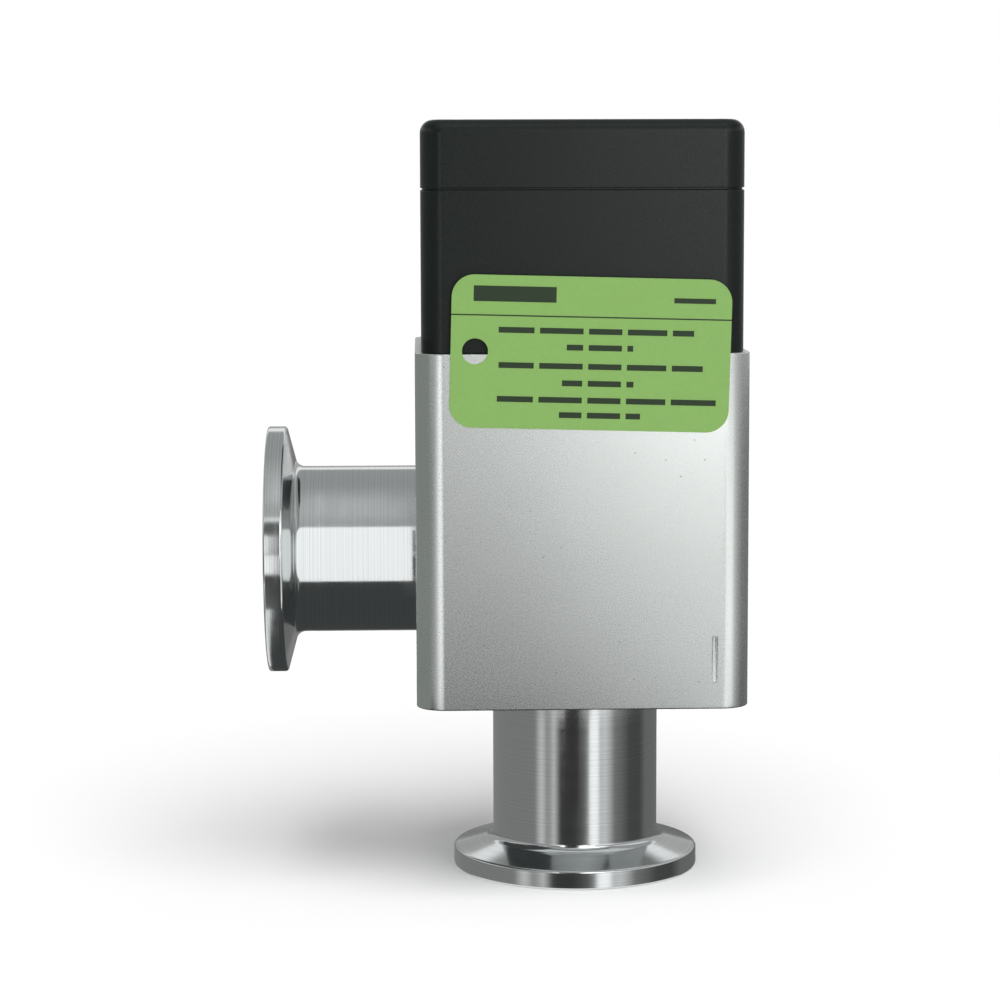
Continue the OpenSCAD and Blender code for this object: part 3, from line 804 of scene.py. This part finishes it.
# Filled PTFE: waxy off-white with the faint cloud of its filler.
ptfe, tree, shader, place = new_material("filled_ptfe")
filler = noise(tree, place, 0.8 * MM, 4.0)
filled = blend(tree, filler, "#d6d1c3", "#ece8de")
waxy = remap(tree, filler, (0, 1), (0.42, 0.58))
set_shader(
    tree, shader, Base_Color=filled, Roughness=waxy, Subsurface_Weight=0.1,
    Subsurface_Radius=(0.8 * MM, 0.8 * MM, 0.7 * MM),
)

split = 0.6 * MM
split_angle = split / cylinder_r
band = bmesh.new()
section = [
    band.verts.new((r, 0, z))
    for r, z in (
        (cylinder_r - band_t, band_low.z),
        (-band_low.x, band_low.z),
        (-band_low.x, band_high.z),
        (cylinder_r - band_t, band_high.z),
    )
]
band.faces.new(section)
bmesh.ops.rotate(band, verts=band.verts, cent=(0, 0, 0), matrix=Matrix.Rotation(split_angle / 2, 3, "Z"))
bmesh.ops.spin(
    band, geom=band.verts[:] + band.edges[:] + band.faces[:], axis=(0, 0, 1), cent=(0, 0, 0),
    angle=FULL_TURN - split_angle, steps=128,
)
bmesh.ops.recalc_face_normals(band, faces=band.faces)
guide_ring = add_piece("guide_ring_band", band)
finish_piece(guide_ring, ptfe)
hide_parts("guide_ring")
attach(guide_ring, "plunger")


# Piston washer and nut
# A plated washer and a hexagon nut on the upper thread of the stem. They clamp the piston against the
# stem's shoulder.

nut_low, nut_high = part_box("piston_nut")
washer_play = 0.1 * MM
washer_bore_r = stem_thread_r + washer_play
washer_edge = 0.25 * MM
washer_bore_edge = 0.15 * MM
washer_under_edge = 0.08 * MM
washer = add_piece("piston_washer_disc", turn([
    (washer_bore_r, washer_low.z, washer_under_edge),
    (washer_high.x, washer_low.z, washer_under_edge),
    (washer_high.x, washer_high.z, washer_edge),
    (washer_bore_r, washer_high.z, washer_bore_edge),
]))
finish_piece(washer, zinc)
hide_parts("piston_washer")
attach(washer, "plunger")

nut_face_r = 0.97 * nut_high.y
nut_chamfer = math.tan(math.radians(30))
nut_crown = (nut_high.x + over - nut_face_r) * nut_chamfer
nut_bore_r = stem_thread_r + press_fit
nut_lead = 0.4 * MM
nut_middle = Matrix.Translation((0, 0, (nut_low.z + nut_high.z) / 2))
corners_along_x = Matrix.Rotation(math.pi / 6, 4, "Z")
hexagon = bmesh.new()
add_prism(hexagon, 6, nut_high.x, nut_high.z - nut_low.z, nut_middle @ corners_along_x)
chamfers = turn([
    (0, nut_low.z),
    (nut_face_r, nut_low.z),
    (nut_high.x + over, nut_low.z + nut_crown),
    (nut_high.x + over, nut_high.z - nut_crown),
    (nut_face_r, nut_high.z),
    (0, nut_high.z),
])
nut_bore = turn([
    (0, nut_low.z - over),
    (nut_bore_r + over, nut_low.z - over),
    (nut_bore_r, nut_low.z + nut_lead),
    (nut_bore_r, nut_high.z - nut_lead),
    (nut_bore_r + over, nut_high.z + over),
    (0, nut_high.z + over),
])
blank = combine("nut", hexagon, "INTERSECT", [chamfers])
nut = add_piece("piston_nut_hexagon", combine("nut", blank, "DIFFERENCE", [nut_bore]))
finish_piece(nut, zinc)
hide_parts("piston_nut")
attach(nut, "plunger")


# Closing spring
# A coil of hard-drawn spring wire between the piston's dish and the cover, with a closed turn at each end.
# It shuts the valve when the air is let out.

# Drawn spring wire: dark grey, mottled by the drawing, with a trace of oil.
wire, tree, shader, place = new_material("drawn_spring_wire")
drawn = noise(tree, place, 0.4 * MM, 3.0, distortion=0.6)
greys = blend(tree, drawn, "#5f6164", "#8a8c8e")
dull = remap(tree, drawn, (0, 1), (0.28, 0.46))
set_shader(tree, shader, Metallic=1.0, Base_Color=greys, Roughness=dull)

spring_low, spring_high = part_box("closing_spring")
wire_r = 1.2 * MM
coil_r = 12.8 * MM
turns = 5
closed_turns = 0.75
closed_pitch = 1.04 * 2 * wire_r
closed_rise = closed_turns * closed_pitch
spring_length = spring_high.z - spring_low.z
open_turns = turns - 2 * closed_turns
open_rise = spring_length - 2 * wire_r - 2 * closed_rise
steps_a_turn = 48
coil = bmesh.new()
bmesh.ops.create_circle(
    coil, cap_ends=True, segments=16, radius=wire_r, matrix=Matrix.Rotation(math.pi / 2, 4, "X")
)
bmesh.ops.translate(coil, vec=(coil_r, 0, spring_low.z + wire_r), verts=coil.verts)
wire_end = coil.verts[:] + coil.edges[:] + coil.faces[:]
for part_turns, rise in ((closed_turns, closed_rise), (open_turns, open_rise), (closed_turns, closed_rise)):
    steps = round(part_turns * steps_a_turn)
    wound = bmesh.ops.spin(
        coil, geom=wire_end, axis=(0, 0, 1), cent=(0, 0, 0), dvec=(0, 0, rise / steps),
        angle=FULL_TURN * part_turns, steps=steps,
    )
    wire_end = wound["geom_last"]
bmesh.ops.remove_doubles(coil, verts=coil.verts, dist=SAME_POINT)
bmesh.ops.recalc_face_normals(coil, faces=coil.faces)
spring = add_piece("closing_spring_coil", coil)
spring.data.materials.append(wire)
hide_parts("closing_spring")
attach(spring, "casing")
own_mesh(spring)


# Top cover
# A machined and black anodised cover with a soft rounded top. Its spigot fits the cylinder and stops the
# piston, a shadow gap shows where it meets the housing, and its pocket holds the spring.

def at_screw_places(shape):
    """Copies of a shape at the four screw places."""
    mesh = bpy.data.meshes.new("one")
    shape.to_mesh(mesh)
    shape.free()
    copies = bmesh.new()
    for x, y in screw_places:
        before = set(copies.verts)
        copies.from_mesh(mesh)
        added = [v for v in copies.verts if v not in before]
        bmesh.ops.translate(copies, verts=added, vec=(x, y, 0))
    return copies


cover_low, cover_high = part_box("top_cover")
gap_h = 0.3 * MM
gap_depth = 0.3 * MM
crown_r = 2 * MM
crown_t = 3.5 * MM
cover_edge = 0.12 * MM
pocket_top = cover_high.z - crown_t
pocket_corner = 0.3 * MM
spigot_r = cylinder_r - 0.1 * MM
spigot_edge = 0.3 * MM
seal_z = (cover_low.z + housing_high.z) / 2
cover_groove_half = 0.9 * MM
cover_groove_r = cylinder_r - 1.6 * MM
head_h = 4 * MM
head_seat = screw_high.z - head_h
hole_play = 0.2 * MM
head_hole_r = head_r + hole_play
pin_hole_r = pin_high.x + hole_play
mouth = 0.25 * MM
crown_low = Vector((cover_low.x, cover_low.y, housing_high.z + gap_h))
neck_low = Vector((cover_low.x + gap_depth, cover_low.y + gap_depth, housing_high.z))
neck_high = Vector((cover_high.x - gap_depth, cover_high.y - gap_depth, housing_high.z + gap_h + over))
neck = square_block(neck_low, neck_high, actuator_corner_r - gap_depth, sharp_edge, sharp_edge)
spigot = turn([
    (0, cover_low.z),
    (spigot_r, cover_low.z, spigot_edge),
    (spigot_r, seal_z - cover_groove_half),
    (cover_groove_r, seal_z - cover_groove_half, groove_corner),
    (cover_groove_r, seal_z + cover_groove_half, groove_corner),
    (spigot_r, seal_z + cover_groove_half),
    (spigot_r, housing_high.z + over),
    (0, housing_high.z + over),
])
spring_pocket = turn([
    (0, cover_low.z - over),
    (dish_r, cover_low.z - over),
    (dish_r, pocket_top, pocket_corner),
    (pin_hole_r, pocket_top),
    (pin_hole_r, cover_high.z - mouth),
    (pin_hole_r + mouth + over, cover_high.z + over),
    (0, cover_high.z + over),
])
cover_holes = rods(screw_places, screw_hole_r, housing_high.z - over, head_seat + over)
counterbore = turn([
    (0, head_seat),
    (head_hole_r, head_seat),
    (head_hole_r, cover_high.z - mouth),
    (head_hole_r + mouth + over, cover_high.z + over),
    (0, cover_high.z + over),
], steps=64)
block = square_block(crown_low, cover_high, actuator_corner_r, cover_edge, crown_r)
block = combine("cover", block, "UNION", [neck, spigot])
cutters = [spring_pocket, cover_holes, at_screw_places(counterbore)]
cover = add_piece("actuator_cover", combine("cover", block, "DIFFERENCE", cutters))
finish_piece(cover, black)
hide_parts("top_cover")
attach(cover, "casing")


# Cover seal
# A moulded rubber ring in the groove of the cover's spigot, pressed against the cylinder's wall. It keeps
# the upper end of the cylinder clean.

cover_seal = add_piece("cover_seal_ring", cord_ring("cover_seal"))
finish_piece(cover_seal, rubber)
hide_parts("cover_seal")
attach(cover_seal, "casing")


# Cover screws
# Four plated socket head screws, which go through cover and housing into the tapped corners of the body.
# Their heads lie in counterbores.

socket_r = 1.5 * MM / math.cos(math.pi / 6)
socket_depth = 2 * MM
screw_r = 2 * MM
screw_pitch = 0.7 * MM
threaded_length = 20 * MM
thread_top = screw_low.z + threaded_length
thread_overlap = 0.5 * MM
shank_edge = 0.3 * MM
head_fillet = 0.2 * MM
head_under_edge = 0.15 * MM
head_edge = 0.45 * MM
shank = turn([
    (0, thread_top),
    (screw_r, thread_top, shank_edge),
    (screw_r, head_seat, head_fillet),
    (head_r, head_seat, head_under_edge),
    (head_r, screw_high.z, head_edge),
    (0, screw_high.z),
], steps=72)
thread = threaded_rod(screw_r, screw_pitch, screw_low.z, thread_top + thread_overlap, steps=24)
socket = bmesh.new()
add_prism(socket, 6, socket_r, 2 * socket_depth, Matrix.Translation((0, 0, screw_high.z)))
one_screw = combine("screw", combine("screw", shank, "UNION", [thread]), "DIFFERENCE", [socket])
screws = add_piece("cover_screw_set", at_screw_places(one_screw))
finish_piece(screws, zinc)
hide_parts("cover_screws")
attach(screws, "casing")


# Indicator pin
# A turned pin of red acetal with a domed end, pushed into the top of the stem. It rises out of the cover as
# the valve opens.

# Red acetal: an even strong red, slightly waxy, with a faint mottle.
red, tree, shader, place = new_material("red_acetal")
wax = noise(tree, place, 0.6 * MM, 3.0)
reds = blend(tree, wax, "#a81f19", "#c22a22")
smooth = remap(tree, wax, (0, 1), (0.3, 0.42))
set_shader(tree, shader, Base_Color=reds, Roughness=smooth)

pin_shoulder = stem_high.z
pin_tail_r = tail_r - press_fit
pin_lead = 0.3 * MM
pin_edge = 0.15 * MM
pin_dome = 0.7 * MM
indicator = add_piece("indicator_pin_red", turn([
    (0, pin_low.z),
    (pin_tail_r, pin_low.z, pin_lead),
    (pin_tail_r, pin_shoulder),
    (pin_high.x, pin_shoulder, pin_edge),
    (pin_high.x, pin_high.z, pin_dome),
    (0, pin_high.z),
], steps=64))
finish_piece(indicator, red)
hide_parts("indicator_pin")
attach(indicator, "plunger")


# Inspection card
# A punched green card with round corners, coated and printed in a dark ink. It lies against the front,
# across the joint of body and actuator, a little askew.

card_low, card_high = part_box("inspection_card")
card_size = Vector((43, 0.4, 23.5)) * MM
card_corner_r = 3.5 * MM
hole_r = 2 * MM
punch_length = 2 * MM
hole_place = Vector((-17.75, 0, 0)) * MM
card_middle = (card_low + card_high) / 2
card_tilt = math.radians(1.5)
card_blank = bmesh.new()
bmesh.ops.create_cube(card_blank, size=1.0)
bmesh.ops.scale(card_blank, vec=card_size, verts=card_blank.verts)
across = [e for e in card_blank.edges if abs(e.verts[0].co.y - e.verts[1].co.y) > 0.1 * MM]
round_off(card_blank, across, card_corner_r, 12)
front_to_back = Matrix.Rotation(math.pi / 2, 4, "X")
punch = bmesh.new()
add_prism(punch, 64, hole_r, punch_length, Matrix.Translation(hole_place) @ front_to_back)
punched = combine("card", card_blank, "DIFFERENCE", [punch])
card = add_piece("inspection_card_sheet", put_at(punched, card_middle, "Y", card_tilt))

# Coated card: an even yellow green with faint paper fibre under a dull varnish. The print is a rule from
# edge to edge, a plain block, and six rows of plain bars.
green, tree, shader, place = new_material("coated_green_card")
fibre = noise(tree, place, 0.7 * MM, 4.0, distortion=1.0)
ground = blend(tree, fibre, "#7fad55", "#8ab661")
flat_place = add_node(
    tree, "ShaderNodeMapping", {"Vector": place, "Location": card_middle, "Rotation": (0, card_tilt, 0)},
    vector_type="TEXTURE",
)
card_axes = add_node(tree, "ShaderNodeSeparateXYZ", {"Vector": flat_place.outputs["Vector"]})
dash_length = 6 * MM
break_share = 0.07
cells = add_node(
    tree, "ShaderNodeTexVoronoi", {"W": card_axes.outputs["X"], "Scale": 1 / dash_length},
    voronoi_dimensions="1D", feature="DISTANCE_TO_EDGE",
)
dash = calculate(tree, "GREATER_THAN", cells.outputs["Distance"], break_share)


def printed_bar(x, z, w, h):
    """A mask that is 1 inside a bar on the card, given in millimetres from the card's middle."""
    along = calculate(tree, "COMPARE", card_axes.outputs["X"], x * MM, w / 2 * MM)
    upright = calculate(tree, "COMPARE", card_axes.outputs["Z"], z * MM, h / 2 * MM)
    return calculate(tree, "MULTIPLY", along, upright)


def either(tree, masks):
    """A mask that is 1 where any of the masks is."""
    joined = masks[0]
    for mask in masks[1:]:
        joined = calculate(tree, "MAXIMUM", joined, mask)
    return joined


row_h = 0.9
rows = either(tree, [
    printed_bar(x, z, w, row_h)
    for x, z, w in (
        (0.8, 3.4, 30), (1.4, 0.9, 10.2), (1.6, -2, 31.4),
        (1.2, -4.6, 11), (2.3, -7.2, 34.3), (1.6, -9.5, 12.5),
    )
])
dashed = calculate(tree, "MULTIPLY", rows, dash)
rule = printed_bar(0, 5.6, 50, 0.22)
block = printed_bar(-11.8, 8.9, 12.7, 2.4)
short_bar = printed_bar(15.8, 8.4, 6.4, 0.8)
inked = blend(tree, either(tree, [dashed, rule, block, short_bar]), ground, "#1e3218")
varnish = remap(tree, fibre, (0, 1), (0.42, 0.54))
set_shader(tree, shader, Base_Color=inked, Roughness=varnish, Specular_IOR_Level=0.35)
finish_piece(card, green)
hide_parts("inspection_card")
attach(card, "casing")


# Studio
# A white floor and white surroundings, a broad soft light from high in front, and a camera just below the
# top of the valve, a little to its left. Grey boards that only reflections show give the bright metal its
# dark bands.

scene = bpy.context.scene
scene.view_settings.view_transform = "Standard"

floor_half = 6.0
floor_drop = 0.05 * MM
floor_mesh = bmesh.new()
bmesh.ops.create_grid(floor_mesh, x_segments=1, y_segments=1, size=floor_half)
bmesh.ops.translate(floor_mesh, verts=floor_mesh.verts, vec=(0, 0, -floor_drop))
floor = add_piece("studio_floor", floor_mesh)
paper, tree, shader, place = new_material("white_floor")
set_shader(tree, shader, Base_Color=linear("#ffffff"), Roughness=0.9, Specular_IOR_Level=0.0)
# Clear from below, so that the underside of the valve can be looked at
facing = add_node(tree, "ShaderNodeNewGeometry")
clear = add_node(tree, "ShaderNodeBsdfTransparent")
one_sided = add_node(
    tree, "ShaderNodeMixShader",
    {0: facing.outputs["Backfacing"], 1: shader.outputs["BSDF"], 2: clear.outputs["BSDF"]},
)
tree.links.new(one_sided.outputs["Shader"], tree.nodes["Material Output"].inputs["Surface"])
floor.data.materials.append(paper)
floor.visible_glossy = False

fill_level = 0.48
world = bpy.data.worlds.new("white_surroundings")
scene.world = world
world.use_nodes = True
tree = world.node_tree
tree.nodes.clear()
path = add_node(tree, "ShaderNodeLightPath")
seen = either(tree, [path.outputs[f"Is {kind} Ray"] for kind in ("Camera", "Glossy", "Transmission")])
fill = add_node(tree, "ShaderNodeBackground", {"Color": linear("#ffffff"), "Strength": fill_level})
white = add_node(tree, "ShaderNodeBackground", {"Color": linear("#ffffff"), "Strength": 1.0})
both = add_node(
    tree, "ShaderNodeMixShader",
    {0: seen, 1: fill.outputs["Background"], 2: white.outputs["Background"]},
)
add_node(tree, "ShaderNodeOutputWorld", {"Surface": both.outputs["Shader"]})


def show_board(name, colour, sheet, level=1.0):
    """Makes a sheet a board of even brightness that only reflections show."""
    piece = add_piece(name, sheet)
    material, tree, shader, place = new_material(name)
    glow = add_node(tree, "ShaderNodeEmission", {"Color": linear(colour), "Strength": level})
    tree.links.new(glow.outputs["Emission"], tree.nodes["Material Output"].inputs["Surface"])
    piece.data.materials.append(material)
    piece.visible_camera = False
    piece.visible_diffuse = False
    piece.visible_shadow = False
    piece.visible_transmission = False
    return tree, glow, place


def flat_board(name, colour, start, end, level=1.0):
    """An upright or level board between two opposite corners, in millimetres."""
    span = Vector(end) - Vector(start)
    first, second = [Vector([s * (a == axis) for a, s in enumerate(span)]) for axis in range(3) if span[axis]]
    sheet = bmesh.new()
    ends = [sheet.verts.new(corner * MM) for corner in (Vector(start), Vector(start) + first)]
    edge = sheet.edges.new(ends)
    side = bmesh.ops.extrude_edge_only(sheet, edges=[edge])
    raised = [v for v in side["geom"] if isinstance(v, bmesh.types.BMVert)]
    bmesh.ops.translate(sheet, verts=raised, vec=second * MM)
    return show_board(name, colour, sheet, level)


# Curved boards round the valve: a low ring near the bottom tube, and two far ones that are open in front,
# the lower for the body and the upper for the actuator. Arcs and the levels of light along them go by the
# bearing from the front in degrees.
for name, ring_r, low, high, arcs, levels in (
    (
        "tube_ring", 150, -100, 5, [(-180, 180)],
        [(-180, 0.25), (-58, 0.25), (-50, 0.66), (-46, 0.62), (-41, 0.33), (-36, 0.4), (-31, 0.66),
         (-23, 0.06), (-18, 0.045), (-5, 0.045), (2, 0.075), (9, 0.13), (14, 0.3), (18, 1.25), (27, 1.25),
         (31, 0.62), (38, 0.72), (44, 0.52), (52, 0.21), (64, 0.15), (76, 0.075), (96, 0.075), (110, 0.17),
         (180, 0.17)],
    ),
    (
        "body_ring", 350, -45, 62, [(-180, -10), (13.5, 180)],
        [(-180, 0.22), (-50, 0.22), (-44, 0.36), (-38, 0.45), (-33, 0.72), (-29, 0.9), (-25, 1.4),
         (-10, 1.4), (13, 0.07), (18, 0.07), (20, 1.15), (48, 1.15), (52, 0.6), (60, 0.5), (68, 0.33),
         (78, 0.3), (84, 0.18), (180, 0.18)],
    ),
    (
        "upper_ring", 350, 66, 170, [(-180, -12), (24, 180)],
        [(-180, 0.4), (-24, 0.4), (-20, 2.2), (-12, 2.2), (24, 0.46), (180, 0.46)],
    ),
):
    sheet = bmesh.new()
    for first, last in arcs:
        ends = [sheet.verts.new(Vector((0, -ring_r, z)) * MM) for z in (low, high)]
        upright = sheet.edges.new(ends)
        to_first = Matrix.Rotation(math.radians(first), 3, "Z")
        bmesh.ops.rotate(sheet, verts=ends, cent=(0, 0, 0), matrix=to_first)
        bmesh.ops.spin(
            sheet, geom=[*ends, upright], axis=(0, 0, 1), cent=(0, 0, 0), angle=math.radians(last - first),
            steps=math.ceil((last - first) / 5),
        )
    tree, glow, place = show_board(name, "#ffffff", sheet)
    facing = add_node(tree, "ShaderNodeMapping", {"Vector": place, "Rotation": (0, 0, math.pi / 2)})
    bearing = add_node(
        tree, "ShaderNodeTexGradient", {"Vector": facing.outputs["Vector"]}, gradient_type="RADIAL"
    )
    ramp = add_node(tree, "ShaderNodeValToRGB", {"Fac": bearing.outputs["Fac"]})
    stops = ramp.color_ramp.elements
    for degrees, level in levels[1:-1]:
        stops.new(0.5 + degrees / 360)
    for stop, (degrees, level) in zip(stops, levels):
        stop.color = (level, level, level, 1)
    tree.links.new(ramp.outputs["Color"], glow.inputs["Color"])

# Dark boards before the top of the bottom tube, under the body's lower edge and under the side tube, a
# bright one before the side tube with a grey one that keeps it off the body's corner, and a grey ceiling
flat_board("front_board", "#3c3a3a", (-12, -45, 5), (1, -45, 26))
flat_board("edge_board", "#303230", (-26, -28, 29.9), (26, -24, 29.9))
flat_board("low_board", "#444646", (-50, -35, 28), (-20, 20, 28))
flat_board("window_board", "#ffffff", (-46, -20, 43.2), (-26.6, -20, 63.1), 1.2)
flat_board("corner_board", "#868a87", (-26.4, -27, 28), (-26.4, -20.8, 88))
flat_board("ceiling_board", "#a4a6a6", (-600, -480, 400), (600, 600, 400))

# Two walls in front: the lower grows brighter upwards and to the right, the upper, for the actuator, to the
# right only
for name, low, high, slope, rises, levels in (
    ("lower_wall", -300, 68, (13, 0, 8.2), (-0.3, 1.67), (0.03, 2.0)),
    ("upper_wall", 68, 300, (28, 0, 0), (-0.65, 1.85), (0.1, 2.6)),
):
    tree, glow, place = flat_board(name, "#ffffff", (-400, -400, low), (400, -400, high))
    rise = add_node(tree, "ShaderNodeVectorMath", {0: place, 1: slope}, operation="DOT_PRODUCT")
    tree.links.new(remap(tree, rise.outputs["Value"], rises, levels), glow.inputs["Strength"])

lamp_data = bpy.data.lights.new("soft_lamp", "SUN")
lamp_data.energy = 1.9
lamp_data.angle = math.radians(50)
lamp = bpy.data.objects.new("soft_lamp", lamp_data)
scene.collection.objects.link(lamp)
lamp_from = Vector((0.12, -0.4, 0.9))
lamp.matrix_world = (-lamp_from).to_track_quat("-Z", "Y").to_matrix().to_4x4()

camera_place = Vector((-0.02493, -0.45276, 0.11193))
camera_pitch = math.radians(6.506)
camera_yaw = math.radians(1.605)
camera_roll = math.radians(-0.179)
camera_data = bpy.data.cameras.new("camera")
camera_data.sensor_width = 36
camera_data.lens = 100.31
camera_data.clip_start = 0.01
camera = bpy.data.objects.new("camera", camera_data)
scene.collection.objects.link(camera)
camera.matrix_world = (
    Matrix.Translation(camera_place)
    @ Matrix.Rotation(-camera_yaw, 4, "Z")
    @ Matrix.Rotation(math.pi / 2 - camera_pitch, 4, "X")
    @ Matrix.Rotation(camera_roll, 4, "Z")
)
scene.camera = camera
